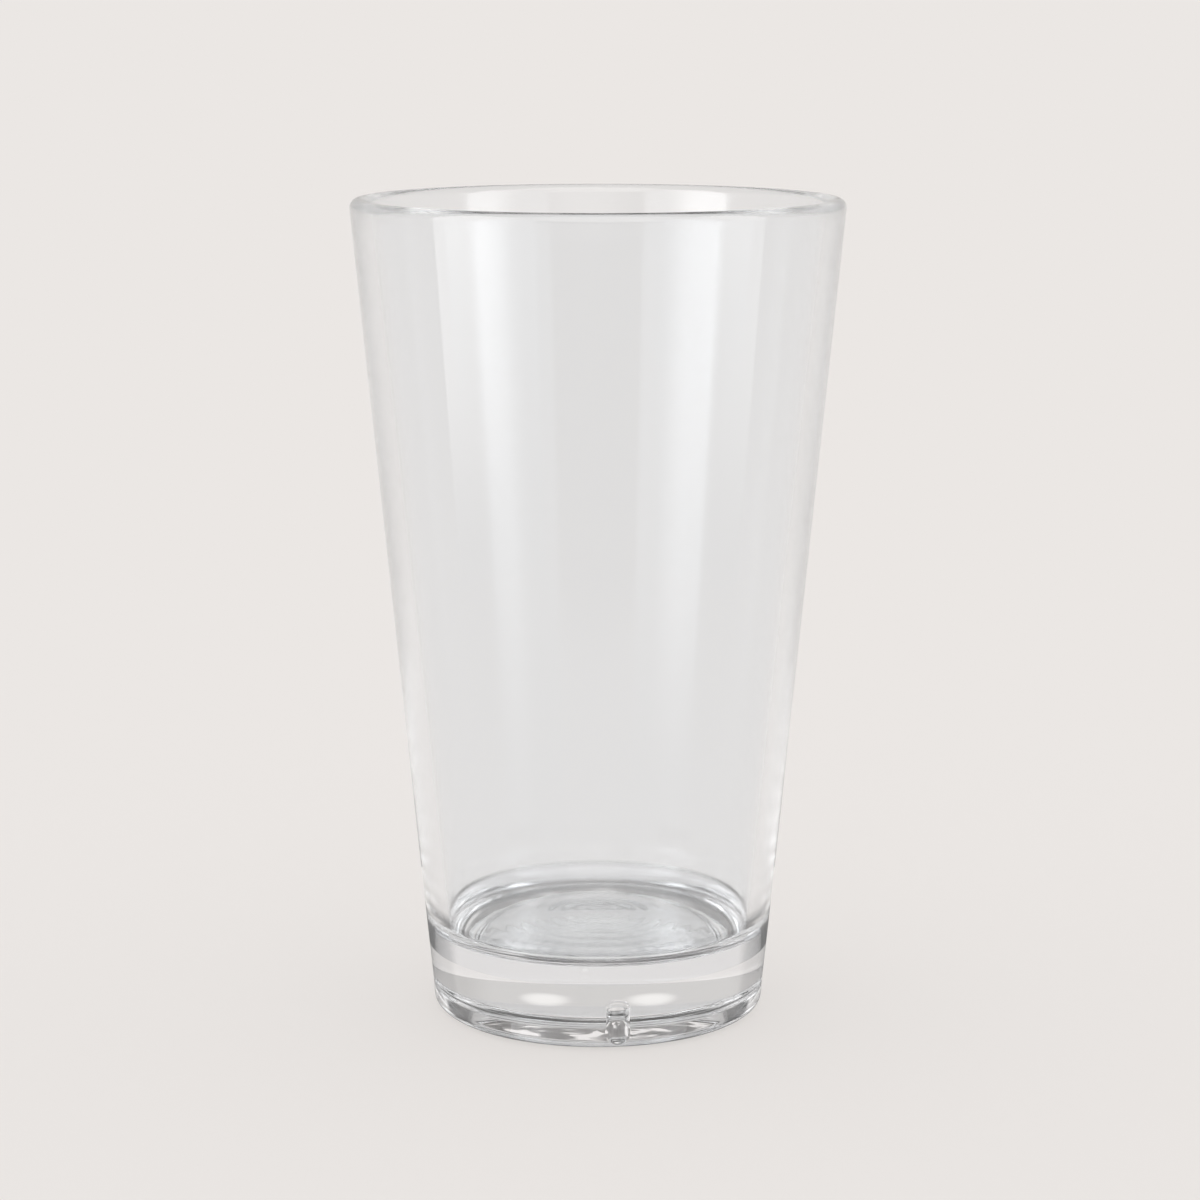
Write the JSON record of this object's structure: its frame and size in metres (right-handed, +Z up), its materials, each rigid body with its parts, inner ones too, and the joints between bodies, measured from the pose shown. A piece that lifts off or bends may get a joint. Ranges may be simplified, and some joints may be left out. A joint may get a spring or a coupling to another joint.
{
  "type": "cocktail tumbler",
  "caption": "Clear tapered cocktail tumbler with a straight conical wall, full round lip, domed floor and a heavy hollowed base with an index notch in its heel",
  "frame": {"origin": "on the table plane under the middle of the foot", "axes": "+Z is up along the axis of the cone, the index notch is on -Y"},
  "size_m": [0.0888, 0.0887, 0.149],
  "materials": {
    "clear_cup": "polished clear moulding, transparent",
    "clear_base": "polished clear moulding, transparent and thick",
    "weld": "remelted clear plastic, same index as its neighbours"
  },
  "bodies": {
    "root": {"cup_body": "clear_cup", "base_foot": "clear_base", "weld_ring": "weld"}
  },
  "joints": []
}
